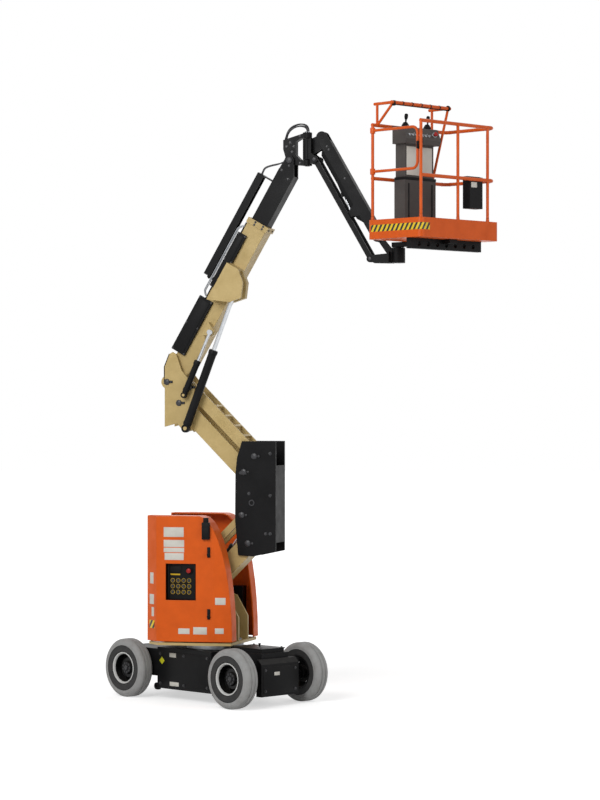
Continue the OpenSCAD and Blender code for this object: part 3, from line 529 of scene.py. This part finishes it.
# plates on each face: along it from and to, up from and to
PLATES = {
    "side": (NEAR_FACE, ((80, 300, 1776, 1880), (80, 305, 1668, 1744), (80, 305, 1612, 1660),
                         (90, 300, 1530, 1604), (240, 365, 740, 800), (405, 555, 738, 816))),
    "rear": (REAR_FACE, ((60, 130, 1270, 1390), (50, 140, 1050, 1157), (90, 140, 921, 1018))),
    "front": (FRONT_FACE, ((18, 112, 747, 806), (20, 132, 1056, 1131))),
}


def plates(bm, boxes):
    for x0, x1, z0, z1 in boxes:
        block(bm, (x0, -1.6, z0), (x1, 1, z1), 1)


def hood_latches(bm):
    for z in (900, 1560):
        block(bm, (560, -16, z), (592, 2, z + 110), 5)
        turned(bm, [(0, 12), (14, 11), (17, 8), (18, 0), (0, 0)], (576, -14, z + 30), (0, -1, 0), 20)


def plug_box(bm):
    """A charging inlet on the near hood's upper corner, with its flap."""
    block(bm, (505, -40, 1752), (590, 6, 1935), 8)
    block(bm, (512, -48, 1775), (583, -38, 1880), 6)
    block(bm, (520, -34, 1930), (575, 4, 1985), 10)


for side, (place, boxes) in PLATES.items():
    make("blank_plates_" + side, "hood_near", blank_vinyl, place, lambda bm: plates(bm, boxes))
make("hood_hazard_tape", "hood_near", slanted_tape, REAR_FACE, lambda bm: plates(bm, ((45, 150, 792, 878),)))
make("plug_box", "hood_near", black_abs, NEAR_FACE, plug_box)
make("hood_latches_near", "hood_near", black_abs, NEAR_FACE, hood_latches)
make("hood_latches_far", "hood_far", black_abs, FAR_FACE @ Matrix.Scale(-1, 4, (0, 1, 0)), hood_latches)

PANEL_U, PANEL_Z, PANEL_V = -205, 1295, -478
SWITCH_PITCH = 62
SWITCHES = [(PANEL_U - 105 + SWITCH_PITCH * column, PANEL_V, PANEL_Z - 110 + SWITCH_PITCH * row)
            for row in range(3) for column in range(4)]
STOP = (PANEL_U + 85, PANEL_V, PANEL_Z + 120)


def panel_switches(bm):
    for at in SWITCHES:
        turned(bm, [(0, 6), (17, 5), (19, 0), (0, 0)], at, (0, -1, 0), 20)
        turned(bm, [(0, 30), (5, 29), (6, 24), (4, 5), (0, 5)], at, (0, -1, 0.35), 12)


def panel_rings(bm):
    for at in SWITCHES:
        turned(bm, [(20, 0), (20, 3), (23, 3), (24, 0), (20, 0)], at, (0, -1, 0), 24)
    block(bm, (PANEL_U - 130, PANEL_V - 3, PANEL_Z + 70), (PANEL_U - 20, PANEL_V + 1, PANEL_Z + 86), 1)


def panel_frame(bm):
    block(bm, (PANEL_U - 250, PANEL_V + 6, PANEL_Z - 230), (PANEL_U + 200, PANEL_V + 14, PANEL_Z + 230), 3)
    block(bm, (PANEL_U - 140, PANEL_V - 10, PANEL_Z + 95), (PANEL_U - 10, PANEL_V + 1, PANEL_Z + 165), 4)
    turned(bm, [(26, 0), (26, 10), (32, 14), (38, 10), (38, 0), (26, 0)], STOP, (0, -1, 0))
    for u in (PANEL_U - 150, PANEL_U + 150):
        block(bm, (u - 8, PANEL_V - 14, PANEL_Z - 180), (u + 8, PANEL_V + 1, PANEL_Z + 180), 4)


def stop_button(bm):
    turned(bm, [(0, 40), (16, 39), (24, 34), (26, 27), (22, 22), (13, 20), (13, 0), (0, 0)], STOP, (0, -1, 0))


make("panel_switches", "turntable", black_oxide, TOWER, panel_switches)
make("panel_rings", "turntable", yellow_plastic, TOWER, panel_rings)
make("panel_frame", "turntable", black_abs, TOWER, panel_frame)
make("panel_stop_button", "turntable", red_knob, TOWER, stop_button)

# Pins of the tower and the boom: heads, keeper bars and bolts on both faces of each body
link_tip = pivot("lower_link_turn") + pivot("lower_upright_turn") - pivot("tower_lift")
mid_link_tip = pivot("mid_link_turn") + pivot("upper_upright_turn") - pivot("mid_boom_turn")
# each body's pin centres, and how far across its faces lie
PINS = {
    "turntable": ([pivot("tower_lift"), pivot("lower_link_turn")], 163),
    "lower_upright": ([pivot("lower_upright_turn"), link_tip, pivot("mid_boom_turn"), pivot("mid_link_turn")],
                      160),
    "upper_upright": ([pivot("upper_upright_turn"), mid_link_tip, pivot("main_lift")], 160),
}
PIN_HEAD = [(0, 16), (20, 16), (27, 12), (32, 10), (34, 6), (34, 0), (0, 0)]
for body, (centres, face_v) in PINS.items():
    def heads(bm):
        for centre in centres:
            at = in_tower(centre)
            for side in (-1, 1):
                turned(bm, PIN_HEAD, (at.x, side * (face_v - 0.5), at.z), (0, side, 0))
                hex_bolt(bm, (at.x + 52, side * (face_v + 7), at.z), (0, side, 0), 16)

    def keepers(bm):
        for centre in centres:
            at = in_tower(centre)
            for side in (-1, 1):
                v = sorted((side * (face_v - 0.5), side * (face_v + 8)))
                block(bm, (at.x + 22, v[0], at.z - 13), (at.x + 68, v[1], at.z + 13), 3)

    make(body + "_pin_heads", body, black_oxide, TOWER, heads)
    make(body + "_keepers", body, black_powder_coat, TOWER, keepers)


UPRIGHT_V = 159.5


def upright_bolts(bm):
    top = in_tower(pivot("mid_boom_turn"))
    for side in (-1, 1):
        v = side * UPRIGHT_V
        for du, dz in ((-55, -10), (0, -10), (40, -230), (230, -660), (280, -660), (280, 200), (280, -250)):
            hex_bolt(bm, (top.x + du + 20, v, top.z + dz), (0, side, 0), 24)
        turned(bm, [(22, 0), (22, 5), (32, 5), (34, 0), (22, 0)], (top.x + 90, v, top.z - 330), (0, side, 0))


make("upright_bolts", "lower_upright", black_oxide, TOWER, upright_bolts)


def rear_bumper(bm):
    """A bent strip on the back of the upper upright."""
    at = in_tower(pivot("main_lift"))
    strip = ((-26, -30), (-36, -20), (-36, 165), (22, 306), (32, 303), (-25, 163))
    for side in (-1, 1):
        v = sorted((side * 137, side * 161))
        sheet_plate(bm, [(at.x + du, at.z + dz) for du, dz in strip], v[0], v[1], 2)


make("upright_bumper", "upper_upright", black_abs, TOWER, rear_bumper)

# Main boom: covers' bolts and ribs, pad bolts at the mouth, a hard line along the near side
COVER_V = -134
COVERS = ((340, 1000, -20, 148), (1147, 1807, 0, 106))
MOUTH_S, MOUTH_V, MOUTH_LOW, MOUTH_TOP = 1970, 113.5, -168.5, 88.5


def cover_ribs(bm):
    for s0, s1, n0, n1 in COVERS:
        block(bm, (s0 + 24, COVER_V - 6, n0 + 22), (s1 - 24, COVER_V + 1, n1 - 22), 4)


def boom_bolts(bm):
    for s0, s1, n0, n1 in COVERS:
        for s in (s0 + 14, (s0 + s1) / 2, s1 - 14):
            for n in (n0 + 11, n1 - 11):
                hex_bolt(bm, (s, COVER_V + 0.5, n), (0, -1, 0), 14)
    for side in (-1, 1):
        for n in (-110, -10):
            for s in (MOUTH_S - 15, MOUTH_S + 15):
                hex_bolt(bm, (s, side * MOUTH_V, n), (0, side, 0), 16)
    for v, n, up in ((-60, MOUTH_LOW, -1), (60, MOUTH_LOW, -1), (20, MOUTH_TOP, 1), (76, MOUTH_TOP, 1)):
        hex_bolt(bm, (MOUTH_S, v, n), (0, 0, up), 16)


def hard_lines(bm):
    for n in (122, 136):
        tube(bm, [(1020, -104, n - 40), (1060, -116, n), (1100, -118, n), (1450, -118, n), (1800, -118, n),
                  (1850, -116, n), (1890, -104, n - 40)], 12)


make("cover_ribs", "main_boom", black_abs, BOOM, cover_ribs)
make("boom_bolts", "main_boom", black_oxide, BOOM, boom_bolts)
make("boom_hard_lines", "main_boom", zinc_plate, BOOM, hard_lines)


# Cylinders: a gland and a base ring on each barrel
def on_cylinder(name):
    slide = Vector(joints[name + "_rod_slide"]["axis"])
    return Matrix.Translation(pivot(name + "_barrel_turn")) @ stand(slide)


# each barrel's length and diameter
CYLINDERS = {"lift": (900, 90), "level": (400, 66), "tower": (820, 84), "jib": (590, 50)}
for name, (length, across) in CYLINDERS.items():
    r = across / 2

    def glands(bm):
        turned(bm, [(r - 2, length - 46), (r + 4, length - 42), (r + 5, length - 8), (r - 1, length + 3),
                    (r * 0.62, length + 4), (r * 0.62, length - 46), (r - 2, length - 46)])
        turned(bm, [(r - 1, 46), (r + 3, 50), (r + 3, 74), (r - 1, 78), (r - 1, 46)])

    make(name + "_gland", name + "_barrel", black_powder_coat, on_cylinder(name), glands)

# Power track: links in the loop
TRACK_S, TRACK_N, TRACK_V, TRACK_R, TRACK_RUN = 1260, 162, -45, 52, 460
LINK_PITCH = 38


def chain_links(bm):
    """Links stand in two straight runs joined by a half round."""
    def link(s, n, angle):
        part = bmesh.new()
        block(part, (-17, -29, -12), (17, 29, 12), 3)
        block(part, (-20, -30, -14), (8, -25, 14), 2)
        block(part, (-20, 25, -14), (8, 30, 14), 2)
        join(bm, part, Matrix.Translation((s, TRACK_V, n)) @ Matrix.Rotation(angle, 4, "Y"))

    for i in range(int(TRACK_RUN / LINK_PITCH)):
        s = TRACK_S + LINK_PITCH * (i + 0.5)
        link(s, TRACK_N + TRACK_R, 0)
        link(s, TRACK_N - TRACK_R, pi)
    turns = 4
    for i in range(turns):
        a = pi / 2 + pi * (i + 0.5) / turns
        link(TRACK_S + TRACK_R * cos(a), TRACK_N + TRACK_R * sin(a), pi / 2 - a)


make("chain_links", "track_chain", black_abs, BOOM, chain_links, ["track_chain"])

# Boom tip, jib and rotator: pin heads, bolts and lines
BOOM_TIP = 2743
# how far across the faces of each body lie
FLY_V, HEAD_V, ARM_V, LINK_V = 81.5, 45.5, 54.5, 106.5


def tip_pins(bm):
    for side in (-1, 1):
        turned(bm, PIN_HEAD, (BOOM_TIP, side * FLY_V, 0), (0, side, 0))
        for s, n in ((2560, -90), (2610, 20), (2690, -30)):
            hex_bolt(bm, (s, side * FLY_V, n), (0, side, 0), 18)


def fly_lines(bm):
    """Bent steel lines from the track's end plate down to the tip."""
    for v, lift in ((-60, 12), (-74, 0)):
        tube(bm, [(2455, v, 190 + lift), (2500, v, 200 + lift), (2545, v, 195 + lift),
                  (2600, v - 2, 140 + lift), (2640, v - 2, 90 + lift), (2670, v - 2, 66),
                  (2695, v - 2, 46)], 15)


make("fly_lines", "fly_boom", black_oxide, BOOM, fly_lines)
make("tip_pins", "fly_boom", black_oxide, BOOM, tip_pins)


def swivel_caps(bm):
    at = in_tower(pivot("jib_swing"))
    top = in_tower(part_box("jib_swivel")[1]).z
    turned(bm, [(0, 10), (22, 9), (30, 5), (32, 0), (32, -6), (0, -6)], (at.x, 0, top))


make("swivel_cap", "jib_swivel", zinc_plate, TOWER, swivel_caps)


def head_bolts(bm):
    at = in_tower(pivot("jib_head_level"))
    for side in (-1, 1):
        for du, dz in ((-40, 150), (0, 190), (40, 150), (20, 90), (110, -30), (110, 260)):
            hex_bolt(bm, (at.x + du, side * HEAD_V, at.z + dz), (0, side, 0), 18)


def head_lines(bm):
    """Bent steel lines that bow over the head."""
    at = in_tower(pivot("jib_head_level"))
    for v, bow in ((-36, 0), (-16, 26), (6, 8), (28, 30)):
        route = ((-70, 170), (-62, 240 + bow), (-10, 330 + bow), (90, 368 + bow), (172, 352 + bow),
                 (192, 310), (188, 285))
        tube(bm, [(at.x + du, v, at.z + dz) for du, dz in route], 15)


make("head_lines", "jib_head", black_oxide, TOWER, head_lines)
make("head_bolts", "jib_head", black_oxide, TOWER, head_bolts)


def arm_bolts(bm):
    for side in (-1, 1):
        for s in (120, 160, 520, 1080, 1120):
            hex_bolt(bm, (s, side * ARM_V, 0), (0, side, 0), 16)


def arm_skins(bm):
    """Deep inner skins of the arm, with the lines that run down between them."""
    skin = [(110, 40), (110, -62), (170, -104), (960, -104), (1030, -62), (1030, 40)]
    route = ((130, -40), (170, -92), (240, -100), (700, -100), (940, -100), (1000, -70))
    for side in (-1, 1):
        v = sorted((side * 39, side * 43.5))
        sheet_plate(bm, skin, v[0], v[1], 1.5)
        tube(bm, [(s, side * 33, n) for s, n in route], 11)


make("arm_skins", "jib_arm", black_powder_coat, JIB, arm_skins)
make("arm_bolts", "jib_arm", black_oxide, JIB, arm_bolts)


def link_pins(bm, centres):
    head = [(0, 10), (14, 10), (20, 7), (23, 0), (0, 0)]
    for centre in centres:
        at = in_tower(centre)
        for side in (-1, 1):
            turned(bm, head, (at.x, side * LINK_V, at.z), (0, side, 0), 24)


jib_link_pin = pivot("jib_links_turn")
jib_link_tip = jib_link_pin + pivot("jib_end_level") - pivot("jib_lift")
make("swivel_pins", "jib_swivel", black_oxide, TOWER, lambda bm: link_pins(bm, [jib_link_pin]))
make("jib_end_pins", "jib_end", black_oxide, TOWER, lambda bm: link_pins(bm, [jib_link_tip]))

# Platform
PLAT_D, PLAT_W, FLOOR_TOP = 760, 1220, 44.5
RAIL_IN, RAIL_TOP = 41, 1191


def stripes(bm):
    """Tape along the near toe board, round the corner and a little way on."""
    low, high, corner, run_on, proud = 75, 146, 55, 75, 0.4
    edge = bm.edges.new([bm.verts.new((corner, -proud, z)) for z in (low, high)])
    run = bmesh.ops.extrude_edge_only(bm, edges=[edge])["geom"]
    bmesh.ops.translate(bm, verts=kind(run, bmesh.types.BMVert), vec=(PLAT_D - 2 * corner, 0, 0))
    run = kind(run, (bmesh.types.BMVert, bmesh.types.BMEdge))
    run = bmesh.ops.spin(bm, geom=run, cent=(PLAT_D - corner, corner, 0), axis=(0, 0, 1), angle=pi / 2,
                         steps=8)["geom_last"]
    ends = bmesh.ops.extrude_edge_only(bm, edges=kind(run, bmesh.types.BMEdge))["geom"]
    bmesh.ops.translate(bm, verts=kind(ends, bmesh.types.BMVert), vec=(0, run_on, 0))
    bmesh.ops.remove_doubles(bm, verts=bm.verts, dist=0.01)
    bmesh.ops.recalc_face_normals(bm, faces=bm.faces)
    bmesh.ops.solidify(bm, geom=bm.faces, thickness=-0.8)


POSTS = ((RAIL_IN, RAIL_IN), (PLAT_D - RAIL_IN, RAIL_IN), (RAIL_IN, 960),
         (PLAT_D - RAIL_IN, PLAT_W - RAIL_IN - 100), (PLAT_D - RAIL_IN, PLAT_W / 2))


def rail_feet(bm):
    foot = [(16, 240), (19, 205), (26, 110), (34, 60), (36, 44), (16, 44), (16, 240)]
    for x, y in POSTS:
        turned(bm, foot, (x, y, 0), steps=24)


def gate_latch(bm):
    x = PLAT_D - RAIL_IN - 30
    block(bm, (x - 14, RAIL_IN - 24, 900), (x + 14, RAIL_IN + 24, 980), 4)
    route = ((22, 940), (50, 940), (60, 960), (60, 1010))
    tube(bm, [(x, RAIL_IN + y, z) for y, z in route], 10)


def floor_grip(bm):
    """Pressed tread: rows of short raised bars, each row turned from the last."""
    rows, columns, row_pitch, column_pitch = 9, 16, 52, 72
    for row in range(rows):
        for column in range(columns):
            part = bmesh.new()
            block(part, (-26, -5, 0), (26, 5, 5), 2.4)
            turn = Matrix.Rotation(radians(45 if (row + column) % 2 else -45), 4, "Z")
            at = (262 + row_pitch * row, 70 + column_pitch * column, FLOOR_TOP)
            join(bm, part, Matrix.Translation(at) @ turn)


make("toe_stripes", "platform", slanted_tape, PLATFORM, stripes)
make("rail_feet", "platform", orange_powder_coat, PLATFORM, rail_feet)
make("gate_latch", "platform", black_abs, PLATFORM, gate_latch)
make("floor_grip", "platform", orange_powder_coat, PLATFORM, floor_grip)

# Console: blank panel, bands, sticks and switches on the head, foot pedal on the floor
CONSOLE_X, CONSOLE_Y, CONSOLE_W = 66, 345, 480
CASE_X, COVER_X, CASE_Z, HEAD_Z = CONSOLE_X + 134, CONSOLE_X + 150, 660, 1010
HEAD_RISE, HEAD_RUN = 125, 54
HEAD_TILT = (HEAD_RISE, 0, HEAD_RUN)


def on_head(y, share):
    """A point of the head's sloped face, from its lower edge to its upper one."""
    return (CONSOLE_X + 204 - HEAD_RUN * share, CONSOLE_Y + y, HEAD_Z + 50 + HEAD_RISE * share)


def console_panel(bm):
    block(bm, (CASE_X - 1, CONSOLE_Y + 44, CASE_Z + 26),
          (CASE_X + 3, CONSOLE_Y + CONSOLE_W - 44, HEAD_Z - 24), 2)


BOOT = [(0, 0), (42, 0), (44, 6), (38, 14), (40, 19), (31, 25), (33, 30), (24, 36), (26, 41), (14, 48),
        (0, 48)]
STICK = [(0, 40), (8, 40), (9, 70), (16, 84), (20, 104), (19, 126), (12, 136), (0, 138)]


def console_trim(bm):
    block(bm, (COVER_X - 140, CONSOLE_Y - 4, CASE_Z - 26),
          (COVER_X + 4, CONSOLE_Y + CONSOLE_W + 4, CASE_Z + 4), 4)
    for y in (60, CONSOLE_W - 60):
        block(bm, (COVER_X - 1, CONSOLE_Y + y - 9, 90), (COVER_X + 5, CONSOLE_Y + y + 9, CASE_Z - 60), 3)
    for y in (70, CONSOLE_W - 70):
        at = (CONSOLE_X + 92, CONSOLE_Y + y, HEAD_Z + 183)
        turned(bm, BOOT, at)
        turned(bm, STICK, at, (0.12, 0, 1), 24)
    block(bm, (PLAT_D - 330, CONSOLE_Y + 130, FLOOR_TOP), (PLAT_D - 170, CONSOLE_Y + 330, 70), 8)
    pedal = [(PLAT_D - 320, 68), (PLAT_D - 180, 68), (PLAT_D - 180, 86), (PLAT_D - 320, 128)]
    sheet_plate(bm, pedal, CONSOLE_Y + 150, CONSOLE_Y + 310, 6)


HEAD_STOP = on_head(430, 0.5)


def head_switches(bm):
    count, pitch = 7, 50
    lever = [(0, 26), (4, 25), (5, 20), (3.5, 4), (0, 4)]
    for i in range(count):
        at = on_head(40 + pitch * i, 0.36)
        turned(bm, [(0, 5), (13, 4), (15, 0), (0, 0)], at, HEAD_TILT, 16)
        turned(bm, lever, at, (HEAD_RISE, 0, 110 if i % 2 else 20), 12)
    turned(bm, [(20, 0), (20, 5), (29, 5), (31, 0), (20, 0)], HEAD_STOP, HEAD_TILT, 24)


def head_stop(bm):
    knob = [(0, 38), (15, 37), (23, 32), (25, 26), (21, 21), (12, 19), (12, 0), (0, 0)]
    turned(bm, knob, HEAD_STOP, HEAD_TILT)


make("console_panel", "platform", blank_vinyl, PLATFORM, console_panel)
make("console_trim", "platform", black_abs, PLATFORM, console_trim)
make("head_switches", "platform", zinc_plate, PLATFORM, head_switches)
make("head_stop_button", "platform", red_knob, PLATFORM, head_stop)

# Guard hoop: a sensing strip clipped under the cross tube, with its end units
HOOP_X, HOOP_Z, HOOP_Y0, HOOP_Y1 = RAIL_IN + 230, RAIL_TOP + 225, 110, 960


def hoop_strip(bm):
    z = HOOP_Z - 22
    tube(bm, [(HOOP_X, HOOP_Y0 + 10, z), (HOOP_X, 500, z), (HOOP_X, HOOP_Y1 - 10, z)], 11)
    block(bm, (HOOP_X - 16, HOOP_Y0 - 12, HOOP_Z - 36), (HOOP_X + 18, HOOP_Y0 + 20, HOOP_Z + 19), 6)
    wheel = [(17.5, -9), (28, -9), (31, -5), (31, 7), (27, 12), (17.5, 12), (17.5, -9)]
    turned(bm, wheel, (HOOP_X, HOOP_Y1 - 4, HOOP_Z), (0, 1, 0))
    clip = [(17.5, -6), (21, -6), (21, 6), (17.5, 6), (17.5, -6)]
    for i in range(5):
        turned(bm, clip, (HOOP_X, 250 + 142 * i, HOOP_Z), (0, 1, 0), 24)


make("hoop_strip", "platform", black_abs, PLATFORM, hoop_strip)

# Document box: lid, catch and a blank label
BOX_X0, BOX_X1, BOX_Y0, BOX_Y1, BOX_Z1 = 619, 719, 800, 1000, 660


def box_lid(bm):
    block(bm, (BOX_X0 - 5, BOX_Y0 - 5, BOX_Z1 - 34), (BOX_X1 - 30, BOX_Y1 + 5, BOX_Z1 + 8), 6)
    block(bm, (BOX_X0 - 9, 880, BOX_Z1 - 70), (BOX_X0 + 1, 920, BOX_Z1 - 20), 4)


def box_label(bm):
    block(bm, (BOX_X1 - 1, BOX_Y0 + 20, BOX_Z1 - 110), (BOX_X1 + 1.5, BOX_Y0 + 110, BOX_Z1 - 55), 0.8)


make("box_lid", "platform", black_abs, PLATFORM, box_lid)
make("box_label", "platform", blank_vinyl, PLATFORM, box_label)

# Floor and light: a pale floor that stays white to the horizon and keeps the shadow
FLOOR_R = 90
LIGHT_AIM = Vector((0, 0, 3))


def seen(tree):
    """1 for rays from the camera, off metal or through glass, so that all of these see white."""
    path = add(tree, "ShaderNodeLightPath")
    direct = add(tree, "ShaderNodeMath", {0: path.outputs["Is Camera Ray"], 1: path.outputs["Is Glossy Ray"]},
                 operation="ADD")
    every = add(tree, "ShaderNodeMath", {0: direct.outputs[0], 1: path.outputs["Is Transmission Ray"]},
                operation="ADD", use_clamp=True)
    return every.outputs[0]


def studio_floor():
    bm = bmesh.new()
    bmesh.ops.create_circle(bm, cap_ends=True, segments=64, radius=FLOOR_R)
    mesh = bpy.data.meshes.new("floor")
    bm.to_mesh(mesh)
    bm.free()
    floor = bpy.data.objects.new("floor", mesh)
    scene.collection.objects.link(floor)
    material = bpy.data.materials.new("white_floor")
    material.use_nodes = True
    tree = material.node_tree
    tree.nodes.clear()
    place = add(tree, "ShaderNodeTexCoord").outputs["Object"]
    away = add(tree, "ShaderNodeVectorMath", {0: place}, operation="LENGTH")
    glow = add(tree, "ShaderNodeMapRange", {"Value": away.outputs["Value"], "From Min": 3.0, "From Max": 14.0,
                                           "To Min": 0.55, "To Max": 1.0})
    strength = add(tree, "ShaderNodeMath", {0: seen(tree), 1: glow.outputs[0]}, operation="MULTIPLY")
    paint = add(tree, "ShaderNodeBsdfDiffuse", {"Color": linear("#e8e8e8")})
    light = add(tree, "ShaderNodeEmission", {"Color": (1, 1, 1, 1), "Strength": strength.outputs[0]})
    both = add(tree, "ShaderNodeAddShader", {0: paint.outputs[0], 1: light.outputs[0]})
    add(tree, "ShaderNodeOutputMaterial", {"Surface": both.outputs[0]})
    mesh.materials.append(material)


def studio_world(ambient):
    world = bpy.data.worlds.new("studio")
    scene.world = world
    world.use_nodes = True
    tree = world.node_tree
    tree.nodes.clear()
    strength = add(tree, "ShaderNodeMapRange", {"Value": seen(tree), "To Min": ambient, "To Max": 1.0})
    sky = add(tree, "ShaderNodeBackground", {"Color": (1, 1, 1, 1), "Strength": strength.outputs[0]})
    add(tree, "ShaderNodeOutputWorld", {"Surface": sky.outputs[0]})


def softbox(name, place, size, watts):
    lamp = bpy.data.lights.new(name, "AREA")
    lamp.shape = "SQUARE"
    lamp.size = size
    lamp.energy = watts
    holder = bpy.data.objects.new(name, lamp)
    holder.location = place
    holder.rotation_euler = (LIGHT_AIM - Vector(place)).to_track_quat("-Z", "Y").to_euler()
    scene.collection.objects.link(holder)


studio_floor()
studio_world(0.34)
softbox("key", (4, -14, 10), 7, 1300)
softbox("fill", (13, 2, 7), 6, 300)
softbox("back", (-9, 8, 9), 6, 250)

scene.view_settings.view_transform = "Standard"
